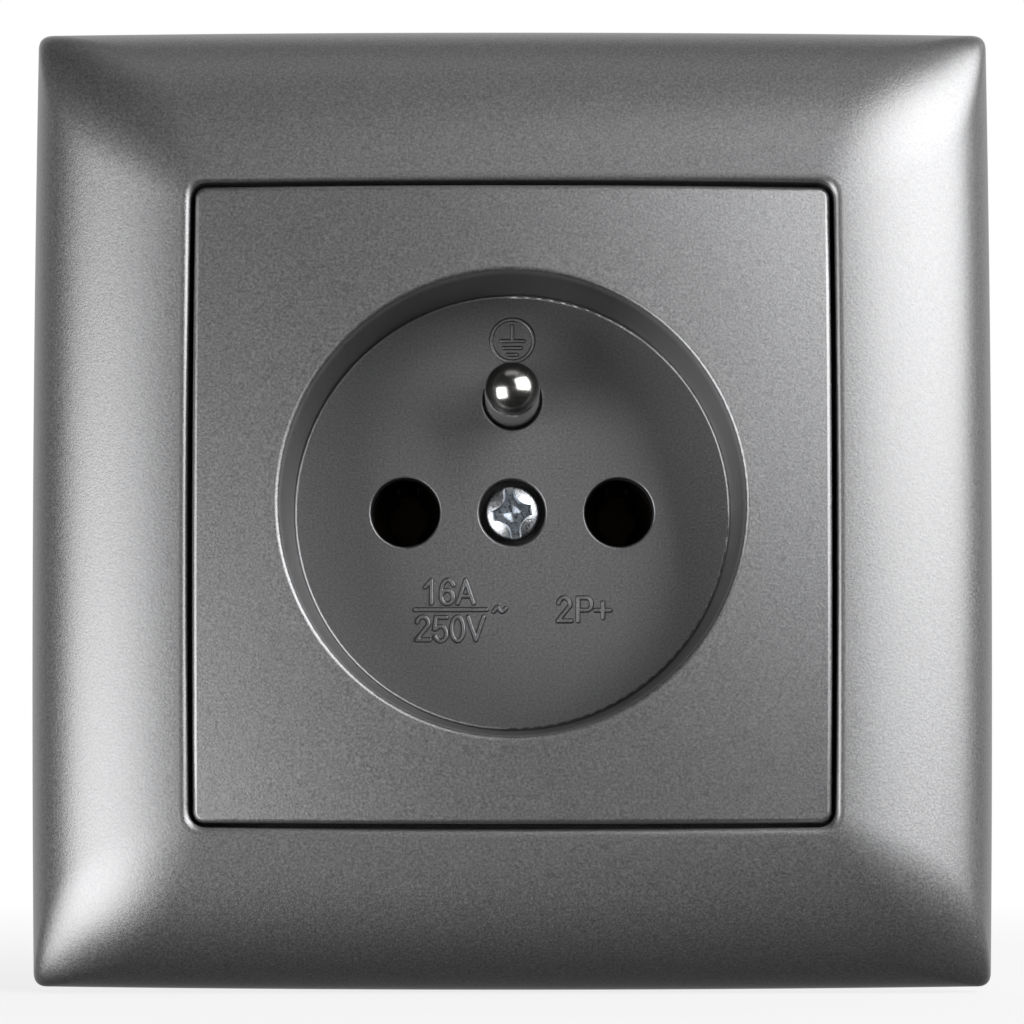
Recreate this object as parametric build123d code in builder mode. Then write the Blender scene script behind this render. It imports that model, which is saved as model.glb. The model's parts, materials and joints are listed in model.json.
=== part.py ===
from build123d import *

import os
from math import cos, radians, sin, sqrt

# A flush wall socket with a round recess, two apertures and a projecting earth pin.
# Millimetres. X runs to the right as seen from the room, Z is up and the room lies towards -Y.
# The origin is the centre of the socket on the wall's surface. Heights are distances from the
# wall towards the room, so what lies in the wall has a negative height.

# Cover frame: a pillow of square sections, whose crest lies just inside the opening's edge
frame_side = 84.0
frame_bulge = 0.2
frame_rim_h = 1.8
frame_crown_h = 10.0
frame_crest_inset = 2.95
frame_corner_r = 1.1
frame_crest_corner_r = 6.0
frame_wall = 2.0
frame_angles = (90, 75, 60, 45, 32, 20, 8)
opening_edge_r = 0.35
opening_bulge = 0.15
ledge_t = 1.5
ledge_w = 2.2
ledge_corner_r = 3.0
collar_wall = 1.6
rib_t = 1.2
rib_offset = 17.0

# Centre plate, whose face is part of a large ball, and its recess
plate_margin = 7.45
plate_bulge = 0.05
plate_dome_r = 275.0
plate_corner_r = 1.0
plate_edge_r = 0.45
plate_face_h = 11.0
plate_t = 1.8
plate_skirt_t = 1.4
plate_inner_corner_r = 2.0
plate_foot_h = 5.0
plate_gap = 0.45
mouth_r = 20.05
mouth_edge_r = 0.35
recess_depth = 15.0
recess_draft = 0.65
recess_floor_edge_r = 0.3
cup_wall = 1.3
floor_t = 2.0
aperture_spacing = 19.0
aperture_r = 3.04
aperture_edge_r = 0.2
aperture_collar_wall = 1.2
aperture_collar_l = 0.9
screw_recess_r = 2.93
screw_recess_depth = 2.8
boss_wall = 0.8
plate_rib_t = 1.0
plate_rib_l = 3.0
plate_rib_count = 8

# Earth pin, turned from one bar
pin_r = 2.4
pin_offset = 10.0
pin_projection = 14.0
pin_neck_r = 2.0
pin_hole_clearance = 0.2
pin_flange_r = 3.6
pin_flange_t = 0.9
pin_tail_r = 1.6
pin_peen_r = 2.6
pin_peen_t = 0.7

# Earth strap, folded from strip
strap_t = 1.2
strap_w = 9.0
strap_bend_r = 1.3
strap_collar_r = 2.4
strap_collar_l = 1.6
strap_flange_l = 5.0

# Mounting ring, pressed from sheet
ring_side = 71.0
ring_t = 1.2
ring_corner_r = 3.0
ring_clearance = 0.3
ring_opening_corner_r = 7.0
box_screw_spacing = 60.0
slot_r = 2.1
slot_l = 9.0
keyhole_r = 3.8
corner_hole_r = 1.7
corner_hole_spacing = 56.0
leg_t = 1.0
leg_w = 18.0
leg_l = 16.0
window_w = 8.0
window_h = 3.0
leg_corner = 2.0
rivet_r = 1.1
rivet_head_r = 1.9
rivet_head_t = 0.7
rivet_spacing = 5.0
rivet_drop = 3.0

# Socket base, moulded, a little wider than the recess in front of it
base_margin = 1.3
base_chamfer = 6.0
base_depth = 21.5
base_gap = 1.0
base_rim = 2.0
base_edge_r = 1.0
lug_w = 7.4
lug_h = 2.4
lug_reach = 1.2
lug_drop = 4.5

# Contact cover, moulded, sunk in the front of the base
cover_t = 2.5
cover_clearance = 0.15
channel_clearance = 0.15
pocket_clearance = 0.6
funnel_r = 3.2
funnel_mouth_r = 3.9
cover_screw_inset_x = 7.0
cover_screw_inset_z = 8.5
cover_screw_r = 1.1
cover_screw_head_r = 2.1
cover_screw_head_t = 1.2
cover_screw_l = 8.0
cover_slot_w = 0.7

# Line and neutral contacts, formed from bronze strip
contact_inner_r = 1.85
contact_t = 0.7
contact_l = 12.0
contact_flare_r = 3.0
contact_flare_l = 1.3
contact_gap_w = 2.0
contact_closed_l = 1.4
contact_strip_w = 5.0
contact_strip_offset = 5.6
contact_bend_r = 0.9
contact_drop = 3.0
chamber_clearance = 0.5
spring_ring_t = 0.5
spring_ring_w = 3.0
spring_ring_gap = 1.6
spring_ring_drop = 3.4

# Screw terminals
terminal_screw_r = 1.75
terminal_head_r = 3.0
terminal_head_t = 2.0
terminal_screw_l = 7.5
terminal_sink = 1.0
clamp_w = 9.0
clamp_d = 8.4
clamp_t = 1.2
clamp_lip = 0.9
clamp_lip_t = 0.8
wire_gap = 2.0
tail_w = 11.2
tail_d = 9.6
pole_terminal_x = 12.6
pole_terminal_inset = 9.8
earth_terminal_inset = 6.8
well_clearance = 0.5
wire_hole_r = 1.9
wire_hole_offset = 3.0
slot_cut_w = 0.9
slot_cut_d = 1.0
head_chamfer = 0.35

# Central screw
screw_head_r = 2.37
screw_head_t = 1.7
screw_head_edge_r = 0.65
screw_shank_r = 1.5
screw_l = 10.0
screw_tip_chamfer = 0.6
screw_hole_clearance = 0.12
screw_slot_w = 0.85
screw_slot_d = 0.9
screw_slot_turn = 8.0
cross_span = 3.4
cross_w = 0.8
cross_d = 1.5
cross_taper_angle = 14.0

# Clearances of threads and seats, and how closely an edge's radius is matched
thread_clearance = 0.05
seat_clearance = 0.1
edge_match = 0.01

# Sizes, heights and places that follow
plate_side = 2 * (mouth_r + plate_margin)
dome_centre_h = plate_face_h - sqrt(plate_dome_r**2 - mouth_r**2)
recess_floor_r = mouth_r - recess_draft
recess_top_r = mouth_r + recess_draft * plate_t / recess_depth
floor_h = plate_face_h - recess_depth
floor_back_h = floor_h - floor_t
base_front_h = floor_back_h - base_gap
base_back_h = base_front_h - base_depth
boss_r = screw_recess_r + boss_wall
cover_back_h = base_front_h - cover_t
strap_top_h = cover_back_h
strap_back_h = strap_top_h - strap_t
opening_side = plate_side + 2 * plate_gap
frame_crest_half = opening_side / 2 - frame_crest_inset
base_side = 2 * (recess_floor_r + cup_wall + base_margin)
contact_x = aperture_spacing / 2
contact_outer_r = contact_inner_r + contact_t
contact_front_h = cover_back_h - contact_drop
contact_back_h = contact_front_h - contact_l
chamber_r = contact_flare_r + contact_t + chamber_clearance
terminal_head_h = base_front_h - terminal_sink
clamp_top_h = terminal_head_h - terminal_head_t
tail_top_h = clamp_top_h - clamp_t - wire_gap
wire_h = tail_top_h + wire_gap / 2
well_back_h = clamp_top_h - terminal_screw_l - well_clearance
screw_seat_h = floor_h - screw_recess_depth
leg_x = base_side / 2 + seat_clearance
lug_mid_h = base_front_h - lug_drop
strap_leg_z = base_side / 2 + seat_clearance + strap_t / 2
rivet_z = strap_leg_z + rivet_drop
cover_screw_x = base_side / 2 - cover_screw_inset_x
cover_screw_z = base_side / 2 - cover_screw_inset_z
pole_terminal_z = pole_terminal_inset - base_side / 2
earth_terminal_z = earth_terminal_inset - base_side / 2
rivet_places = ((-rivet_spacing / 2, rivet_z), (rivet_spacing / 2, rivet_z))
cover_screw_places = ((-cover_screw_x, cover_screw_z), (cover_screw_x, cover_screw_z))
terminals = {
    "line": (-pole_terminal_x, pole_terminal_z),
    "neutral": (pole_terminal_x, pole_terminal_z),
    "earth": (0, earth_terminal_z),
}


def level(height):
    """A plane at this height above the wall, seen from the room."""
    return Plane.XZ.offset(height)


def bulged_square(side, bulge, corner_r):
    """A square whose sides bow outwards a little, with round corners."""
    half = side / 2 - bulge
    corners = [(-half, -half), (half, -half), (half, half), (-half, half)]
    middles = [(0, -side / 2), (side / 2, 0), (0, side / 2), (-side / 2, 0)]
    with BuildSketch() as shape:
        with BuildLine():
            for start, middle, end in zip(corners, middles, corners[1:] + corners[:1]):
                ThreePointArc(start, middle, end)
        make_face()
        fillet(shape.vertices(), corner_r)
    return shape.sketch


def pillow(inset):
    """The frame's domed body, or its hollow when inset by the wall."""
    with BuildPart() as body:
        rim_h = frame_rim_h - inset
        for angle in frame_angles:
            reach = frame_side / 2 - frame_crest_half
            side = 2 * (frame_crest_half + reach * sin(radians(angle)) - inset)
            height = rim_h + (frame_crown_h - frame_rim_h) * cos(radians(angle))
            share = cos(radians(angle))
            corner_r = frame_corner_r + (frame_crest_corner_r - frame_corner_r) * share
            with BuildSketch(level(height)):
                add(bulged_square(side, frame_bulge, corner_r))
        loft()
        with BuildSketch(level(rim_h)):
            add(bulged_square(frame_side - 2 * inset, frame_bulge, frame_corner_r))
        extrude(amount=-rim_h - inset)
    return body.part


def under_dome(side, corner_r, ball_r):
    """A square block that stands on the plate's foot and ends at a ball of this radius."""
    with BuildPart() as block:
        with BuildSketch(level(plate_foot_h)):
            add(bulged_square(side, plate_bulge, corner_r))
        extrude(amount=plate_face_h)
        with Locations((0, -dome_centre_h, 0)):
            Sphere(ball_r, mode=Mode.INTERSECT)
    return block.part


def circles(part, radius):
    """The round edges of this radius, from the room inwards."""
    round_edges = part.edges().filter_by(GeomType.CIRCLE)
    return round_edges.filter_by(lambda e: abs(e.radius - radius) < edge_match).sort_by(Axis.Y)


# The space inside the frame, between its wall, its collar and its ribs
with BuildPart() as frame_hollow:
    add(pillow(frame_wall))
    with BuildSketch(level(0)):
        Rectangle(opening_side + 2 * collar_wall, opening_side + 2 * collar_wall)
        rib_l = (frame_side - opening_side) / 2
        rib_z = (frame_side - rib_l) / 2
        with PolarLocations(0, 4):
            with Locations((rib_offset, rib_z), (-rib_offset, rib_z)):
                Rectangle(rib_t, rib_l)
    extrude(amount=frame_crown_h, mode=Mode.SUBTRACT)

# Cover frame
with BuildPart() as cover_frame:
    add(pillow(0))
    add(frame_hollow.part, mode=Mode.SUBTRACT)
    with BuildSketch(level(plate_foot_h)):
        add(bulged_square(opening_side, opening_bulge, plate_corner_r + plate_gap))
    extrude(amount=frame_crown_h, mode=Mode.SUBTRACT)
    inner = cover_frame.edges().filter_by(lambda e: e.center().Y < -plate_foot_h)
    near = opening_side / 2 + opening_edge_r
    inner = inner.filter_by(lambda e: abs(e.center().X) < near and abs(e.center().Z) < near)
    fillet(inner.filter_by(Axis.Y, reverse=True), opening_edge_r)
    ledge_side = opening_side - 2 * ledge_w
    with BuildSketch(level(0)):
        RectangleRounded(ledge_side, ledge_side, ledge_corner_r)
    extrude(amount=frame_crown_h, mode=Mode.SUBTRACT)
    with BuildSketch(level(plate_foot_h - ledge_t)):
        Rectangle(opening_side, opening_side)
    extrude(amount=-frame_crown_h, mode=Mode.SUBTRACT)
    with BuildSketch(level(0)):
        Rectangle(ring_side + 2 * ring_clearance, ring_side + 2 * ring_clearance)
    extrude(amount=ring_t + ring_clearance, mode=Mode.SUBTRACT)

# Centre plate with its recess
with BuildPart() as centre_plate:
    add(under_dome(plate_side, plate_corner_r, plate_dome_r))
    fillet(centre_plate.faces().sort_by(Axis.Y)[0].edges(), plate_edge_r)
    inner_side = plate_side - 2 * plate_skirt_t
    inner_ball_r = plate_dome_r - plate_t
    add(under_dome(inner_side, plate_inner_corner_r, inner_ball_r), mode=Mode.SUBTRACT)
    with BuildSketch(level(plate_face_h - plate_t)):
        with PolarLocations(0, plate_rib_count):
            Rectangle(plate_rib_t, inner_side + plate_rib_t)
    extrude(amount=-plate_rib_l)
    with BuildSketch(Plane.XY):
        with BuildLine():
            Polyline(
                (0, -plate_face_h + plate_t / 2),
                (mouth_r + cup_wall, -plate_face_h + plate_t / 2),
                (recess_floor_r + cup_wall, -floor_back_h),
                (0, -floor_back_h),
                close=True,
            )
        make_face()
    revolve(axis=Axis.Y)
    with BuildSketch(level(floor_back_h)):
        with Locations((-contact_x, 0), (contact_x, 0)):
            Circle(aperture_r + aperture_collar_wall)
    extrude(amount=-aperture_collar_l)
    with BuildSketch(level(floor_back_h)):
        Circle(boss_r)
    extrude(amount=strap_top_h - floor_back_h)
    with BuildSketch(Plane.XY):
        with BuildLine():
            Polyline(
                (0, -plate_face_h - plate_t),
                (recess_top_r, -plate_face_h - plate_t),
                (recess_floor_r, -floor_h),
                (0, -floor_h),
                close=True,
            )
        make_face()
    revolve(axis=Axis.Y, mode=Mode.SUBTRACT)
    fillet(circles(centre_plate, mouth_r)[0], mouth_edge_r)
    fillet(circles(centre_plate, recess_floor_r)[-1], recess_floor_edge_r)
    with BuildSketch(level(floor_h)):
        with Locations((-contact_x, 0), (contact_x, 0)):
            Circle(aperture_r)
    extrude(amount=-recess_depth, mode=Mode.SUBTRACT)
    with BuildSketch(level(floor_h)):
        with Locations((0, pin_offset)):
            Circle(pin_r + pin_hole_clearance)
    extrude(amount=-floor_t, mode=Mode.SUBTRACT)
    with BuildSketch(level(floor_h)):
        Circle(screw_recess_r)
    extrude(amount=-screw_recess_depth, mode=Mode.SUBTRACT)
    with BuildSketch(level(floor_h)):
        Circle(screw_shank_r + screw_hole_clearance)
    extrude(amount=-recess_depth, mode=Mode.SUBTRACT)
    fillet(circles(centre_plate, aperture_r)[:2], aperture_edge_r)
    fillet(circles(centre_plate, screw_recess_r)[0], aperture_edge_r)
    fillet(circles(centre_plate, pin_r + pin_hole_clearance)[0], aperture_edge_r)

# Central screw: pan head, one slot across a cross recess
with BuildPart() as plate_screw:
    with BuildSketch(Plane.XY):
        with BuildLine():
            head_top_h = screw_seat_h + screw_head_t
            Polyline(
                (0, -head_top_h),
                (screw_head_r, -head_top_h),
                (screw_head_r, -screw_seat_h),
                (screw_shank_r, -screw_seat_h),
                (screw_shank_r, -screw_seat_h + screw_l),
                (0, -screw_seat_h + screw_l),
                close=True,
            )
        make_face()
    revolve(axis=Axis.Y)
    fillet(circles(plate_screw, screw_head_r)[0], screw_head_edge_r)
    chamfer(circles(plate_screw, screw_shank_r)[-1], screw_tip_chamfer)
    with BuildSketch(level(head_top_h)):
        Rectangle(screw_slot_w, 2 * screw_head_r + screw_slot_w, rotation=screw_slot_turn)
    extrude(amount=-screw_slot_d, mode=Mode.SUBTRACT)
    with BuildSketch(level(head_top_h)):
        Rectangle(cross_w, cross_span, rotation=screw_slot_turn)
        Rectangle(cross_span, cross_w, rotation=screw_slot_turn)
    extrude(amount=-cross_d, taper=cross_taper_angle, mode=Mode.SUBTRACT)

# Earth pin with its flange and peened tail
with BuildPart() as earth_pin:
    tip_h = floor_h + pin_projection
    flange_h = strap_top_h + pin_flange_t
    with BuildSketch(Plane.XY):
        with BuildLine():
            CenterArc((0, -tip_h + pin_r), pin_r, -90, 90)
            Polyline(
                (pin_r, -tip_h + pin_r),
                (pin_r, -floor_h),
                (pin_neck_r, -floor_h),
                (pin_neck_r, -flange_h),
                (pin_flange_r, -flange_h),
                (pin_flange_r, -strap_top_h),
                (pin_tail_r, -strap_top_h),
                (pin_tail_r, -strap_back_h),
                (pin_peen_r, -strap_back_h),
                (pin_tail_r, -strap_back_h + pin_peen_t),
                (0, -strap_back_h + pin_peen_t),
                (0, -tip_h),
            )
        make_face()
    revolve(axis=Axis.Y)
earth_pin.part = earth_pin.part.moved(Location((0, 0, pin_offset)))

# Earth strap: terminal plate, step, thread for the central screw, pin hole, leg and flange
with BuildPart() as earth_strap:
    strap_mid_h = strap_top_h - strap_t / 2
    foot_mid_h = tail_top_h - strap_t / 2
    step_z = earth_terminal_z + tail_d / 2 + strap_t / 2
    with BuildSketch(Plane.YZ.offset(-strap_w / 2)):
        with BuildLine():
            FilletPolyline(
                (-foot_mid_h, earth_terminal_z - tail_d / 2),
                (-foot_mid_h, step_z),
                (-strap_mid_h, step_z),
                (-strap_mid_h, strap_leg_z),
                (strap_t / 2, strap_leg_z),
                (strap_t / 2, strap_leg_z + strap_flange_l),
                radius=strap_bend_r,
            )
        trace(line_width=strap_t)
    extrude(amount=strap_w)
    with BuildSketch(level(strap_back_h)):
        Circle(strap_collar_r)
    extrude(amount=-strap_collar_l)
    with BuildSketch(level(strap_top_h)):
        Circle(screw_shank_r + thread_clearance)
        with Locations((0, pin_offset)):
            Circle(pin_tail_r)
    extrude(amount=-strap_t - strap_collar_l, mode=Mode.SUBTRACT)
    with BuildSketch(level(tail_top_h)):
        with Locations(terminals["earth"]):
            Circle(terminal_screw_r + thread_clearance)
    extrude(amount=-strap_t, mode=Mode.SUBTRACT)
    with BuildSketch(level(0)):
        with Locations(*rivet_places):
            Circle(rivet_r)
    extrude(amount=-strap_t, mode=Mode.SUBTRACT)

# Mounting ring with slots at the box screws and two legs that snap over the base
with BuildPart() as mounting_ring:
    with BuildSketch(level(0)):
        RectangleRounded(ring_side, ring_side, ring_corner_r)
        RectangleRounded(2 * leg_x, 2 * strap_leg_z, ring_opening_corner_r, mode=Mode.SUBTRACT)
        with PolarLocations(box_screw_spacing / 2, 4):
            SlotOverall(slot_l, 2 * slot_r, rotation=90, mode=Mode.SUBTRACT)
            with Locations((0, slot_l / 2 - slot_r)):
                Circle(keyhole_r, mode=Mode.SUBTRACT)
        with GridLocations(corner_hole_spacing, corner_hole_spacing, 2, 2):
            Circle(corner_hole_r, mode=Mode.SUBTRACT)
        with Locations(*rivet_places):
            Circle(rivet_r, mode=Mode.SUBTRACT)
    extrude(amount=ring_t)
    with BuildSketch(level(ring_t)):
        with Locations((-leg_x - leg_t / 2, 0), (leg_x + leg_t / 2, 0)):
            Rectangle(leg_t, leg_w)
    extrude(amount=-ring_t - leg_l)
    with BuildSketch(Plane.YZ.offset(-ring_side / 2)):
        with Locations((-lug_mid_h, 0)):
            Rectangle(window_h, window_w)
    extrude(amount=ring_side, mode=Mode.SUBTRACT)
    feet = mounting_ring.faces().filter_by(Axis.Y).sort_by(Axis.Y)[-2:]
    chamfer([e for f in feet for e in f.edges().filter_by(Axis.X)], leg_corner)

# Rivets that join the strap to the ring, as one group
with BuildPart() as strap_rivets:
    for height, radius, length in (
        (ring_t, rivet_r, -ring_t - strap_t),
        (ring_t, rivet_head_r, rivet_head_t),
        (-strap_t, rivet_head_r, -rivet_head_t),
    ):
        with BuildSketch(level(height)):
            with Locations(*rivet_places):
                Circle(radius)
        extrude(amount=length)


def base_outline(inset):
    """The base's square with cut corners, inset evenly all round."""
    with BuildSketch() as shape:
        Rectangle(base_side, base_side)
        chamfer(shape.vertices(), base_chamfer)
        offset(amount=-inset, kind=Kind.INTERSECTION, mode=Mode.REPLACE)
    return shape.sketch


# Socket base: contact chambers, terminal wells, wire holes and side lugs
with BuildPart() as socket_base:
    with BuildSketch(level(base_back_h)):
        add(base_outline(0))
    extrude(amount=base_depth)
    fillet(socket_base.faces().sort_by(Axis.Y)[-1].edges(), base_edge_r)
    with BuildSketch(level(base_front_h)):
        add(base_outline(base_rim))
    extrude(amount=-cover_t, mode=Mode.SUBTRACT)
    with BuildSketch(level(base_front_h)):
        with Locations((0, (step_z + base_side) / 2)):
            Rectangle(strap_w + 2 * channel_clearance, base_side - step_z)
    extrude(amount=strap_back_h - base_front_h, mode=Mode.SUBTRACT)
    with BuildSketch(level(strap_back_h)):
        Circle(strap_collar_r + pocket_clearance)
        with Locations((0, pin_offset)):
            Circle(pin_peen_r + pocket_clearance)
    extrude(amount=-strap_collar_l - pocket_clearance, mode=Mode.SUBTRACT)
    with BuildSketch(level(strap_back_h)):
        Circle(screw_shank_r + pocket_clearance)
    extrude(amount=screw_seat_h - screw_l - pocket_clearance - strap_back_h, mode=Mode.SUBTRACT)
    slot_end = contact_strip_offset + contact_t + chamber_clearance
    with BuildSketch(level(cover_back_h)):
        with Locations((-contact_x, 0), (contact_x, 0)):
            Circle(chamber_r)
        with Locations((-contact_x, -slot_end / 2), (contact_x, -slot_end / 2)):
            Rectangle(contact_strip_w + 2 * chamber_clearance, slot_end)
    extrude(amount=contact_back_h - cover_back_h, mode=Mode.SUBTRACT)
    for name, place in terminals.items():
        width, plate_t_here = (strap_w, strap_t) if name == "earth" else (tail_w, contact_t)
        top_z = step_z + strap_t if name == "earth" else -contact_strip_offset
        bottom_z = place[1] - tail_d / 2 - well_clearance
        with BuildSketch(level(cover_back_h)):
            with Locations((place[0], (top_z + bottom_z) / 2)):
                Rectangle(width + 2 * well_clearance, top_z - bottom_z)
        extrude(amount=tail_top_h - plate_t_here - cover_back_h, mode=Mode.SUBTRACT)
        with BuildSketch(level(cover_back_h)):
            with Locations(place):
                Circle(terminal_screw_r + well_clearance)
        extrude(amount=well_back_h - cover_back_h, mode=Mode.SUBTRACT)
        with BuildSketch(Plane.XY.offset(-base_side / 2)):
            with Locations((place[0] - wire_hole_offset, -wire_h), (place[0] + wire_hole_offset, -wire_h)):
                Circle(wire_hole_r)
        extrude(amount=base_side / 2 + bottom_z + wire_hole_r, mode=Mode.SUBTRACT)
    with BuildSketch(level(cover_back_h)):
        with Locations(*cover_screw_places):
            Circle(cover_screw_r + thread_clearance)
    extrude(amount=-cover_screw_l, mode=Mode.SUBTRACT)
    for side in (-1, 1):
        with BuildSketch(Plane.XY.offset(-lug_w / 2)):
            with BuildLine():
                face_x = side * base_side / 2
                Polyline(
                    (face_x, -lug_mid_h - lug_h / 2),
                    (face_x + side * lug_reach, -lug_mid_h - lug_h / 2),
                    (face_x, -lug_mid_h + lug_h / 2),
                    close=True,
                )
            make_face()
        extrude(amount=lug_w)

# Contact cover: funnels over the contacts, holes for boss, pin and terminal screws
with BuildPart() as contact_cover:
    with BuildSketch(level(base_front_h)):
        add(base_outline(base_rim + cover_clearance))
    extrude(amount=-cover_t)
    with BuildSketch(level(base_front_h)):
        Circle(boss_r + cover_clearance)
        with Locations((0, pin_offset)):
            Circle(pin_flange_r + cover_clearance)
        with Locations(*terminals.values()):
            Circle(terminal_head_r + well_clearance)
        with Locations(*cover_screw_places):
            Circle(cover_screw_r + cover_clearance)
        with Locations((-contact_x, 0), (contact_x, 0)):
            Circle(funnel_r)
    extrude(amount=-cover_t, mode=Mode.SUBTRACT)
    with BuildSketch(level(base_front_h)):
        with Locations(*cover_screw_places):
            Circle(cover_screw_head_r + cover_clearance)
    extrude(amount=-cover_screw_head_t, mode=Mode.SUBTRACT)
    chamfer(circles(contact_cover, funnel_r)[:2], funnel_mouth_r - funnel_r)

# Self-tapping screws that hold the contact cover, as one group
with BuildPart() as cover_screws:
    with BuildSketch(level(base_front_h)):
        with Locations(*cover_screw_places):
            Circle(cover_screw_head_r)
    extrude(amount=-cover_screw_head_t)
    with BuildSketch(level(base_front_h - cover_screw_head_t)):
        with Locations(*cover_screw_places):
            Circle(cover_screw_r)
    extrude(amount=-cover_screw_l)
    with BuildSketch(level(base_front_h)):
        with Locations(*cover_screw_places):
            Rectangle(2 * cover_screw_head_r + cover_slot_w, cover_slot_w)
    extrude(amount=-cover_slot_w, mode=Mode.SUBTRACT)


def pole_contact(side):
    """A split sleeve round the plug's pin, its web, its folded strip and its terminal plate."""
    with BuildPart() as contact:
        with BuildSketch(Plane.XY):
            with BuildLine():
                neck = -contact_front_h + contact_flare_l
                Polyline(
                    (0, -contact_back_h - contact_t),
                    (contact_inner_r, -contact_back_h - contact_t),
                    (contact_inner_r, neck),
                    (contact_flare_r, -contact_front_h),
                    (contact_flare_r + contact_t, -contact_front_h),
                    (contact_outer_r, neck),
                    (contact_outer_r, -contact_back_h),
                    (0, -contact_back_h),
                    close=True,
                )
            make_face()
        revolve(axis=Axis.Y)
        with BuildSketch(level(contact_front_h)):
            Rectangle(contact_gap_w, 2 * chamber_r)
        extrude(amount=contact_closed_l - contact_l, mode=Mode.SUBTRACT)
        web_y = -contact_back_h - contact_t / 2
        tail_y = -tail_top_h + contact_t / 2
        with BuildSketch(Plane.YZ.offset(-contact_strip_w / 2)):
            with BuildLine():
                FilletPolyline(
                    (web_y, 0),
                    (web_y, -contact_strip_offset),
                    (tail_y, -contact_strip_offset),
                    (tail_y, pole_terminal_z),
                    radius=contact_bend_r,
                )
            trace(line_width=contact_t)
        extrude(amount=contact_strip_w)
        with BuildSketch(level(tail_top_h)):
            with Locations((side * (pole_terminal_x - contact_x), pole_terminal_z)):
                Rectangle(tail_w, tail_d)
                Circle(terminal_screw_r + thread_clearance, mode=Mode.SUBTRACT)
        extrude(amount=-contact_t)
        with BuildSketch(level(tail_top_h)):
            with Locations((side * (pole_terminal_x - contact_x), pole_terminal_z)):
                Circle(terminal_screw_r + thread_clearance)
        extrude(amount=-contact_t, mode=Mode.SUBTRACT)
    return contact.part.moved(Location((side * contact_x, 0, 0)))


def spring_ring(side):
    """A split steel ring that presses the sleeve's leaves together."""
    with BuildPart() as ring:
        with BuildSketch(level(contact_front_h - contact_flare_l - spring_ring_drop)):
            Circle(contact_outer_r + thread_clearance + spring_ring_t)
            Circle(contact_outer_r + thread_clearance, mode=Mode.SUBTRACT)
            with Locations((0, contact_outer_r)):
                Rectangle(spring_ring_gap, 2 * contact_outer_r, mode=Mode.SUBTRACT)
        extrude(amount=-spring_ring_w)
    return ring.part.moved(Location((side * contact_x, 0, 0)))


def terminal_clamp(place):
    """A clamp plate whose lips grip a wire on each side of the screw."""
    with BuildPart() as clamp:
        with BuildSketch(level(clamp_top_h)):
            with Locations(place):
                Rectangle(clamp_w, clamp_d)
        extrude(amount=-clamp_t)
        with BuildSketch(level(clamp_top_h - clamp_t)):
            with Locations((place[0] - clamp_w / 2, place[1]), (place[0] + clamp_w / 2, place[1])):
                Rectangle(2 * clamp_lip_t, clamp_d)
        extrude(amount=-clamp_lip)
        with BuildSketch(level(clamp_top_h)):
            with Locations((place[0] - clamp_w, place[1]), (place[0] + clamp_w, place[1])):
                Rectangle(clamp_w, 2 * clamp_d)
            with Locations(place):
                Circle(terminal_screw_r + thread_clearance)
        extrude(amount=-clamp_t - clamp_lip, mode=Mode.SUBTRACT)
    return clamp.part


def terminal_screw(place):
    """A slotted screw with a flat head."""
    with BuildPart() as screw:
        with BuildSketch(level(terminal_head_h)):
            with Locations(place):
                Circle(terminal_head_r)
        extrude(amount=-terminal_head_t)
        chamfer(screw.edges().sort_by(Axis.Y)[0], head_chamfer)
        with BuildSketch(level(clamp_top_h)):
            with Locations(place):
                Circle(terminal_screw_r)
        extrude(amount=-terminal_screw_l)
        chamfer(screw.edges().sort_by(Axis.Y)[-1], head_chamfer)
        with BuildSketch(level(terminal_head_h)):
            with Locations(place):
                Rectangle(slot_cut_w, 2 * terminal_head_r + slot_cut_w)
        extrude(amount=-slot_cut_d, mode=Mode.SUBTRACT)
    return screw.part


pieces = {
    "cover_frame": cover_frame.part,
    "centre_plate": centre_plate.part,
    "plate_screw": plate_screw.part,
    "earth_pin": earth_pin.part,
    "earth_strap": earth_strap.part,
    "mounting_ring": mounting_ring.part,
    "strap_rivets": strap_rivets.part,
    "socket_base": socket_base.part,
    "contact_cover": contact_cover.part,
    "cover_screws": cover_screws.part,
}
for name, side in (("line", -1), ("neutral", 1)):
    pieces[name + "_contact"] = pole_contact(side)
    pieces[name + "_spring_ring"] = spring_ring(side)
for name, place in terminals.items():
    pieces[name + "_clamp"] = terminal_clamp(place)
    pieces[name + "_terminal_screw"] = terminal_screw(place)

os.makedirs("parts", exist_ok=True)
for name, piece in pieces.items():
    piece.label = name
    export_step(piece, f"parts/{name}.step")
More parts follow.
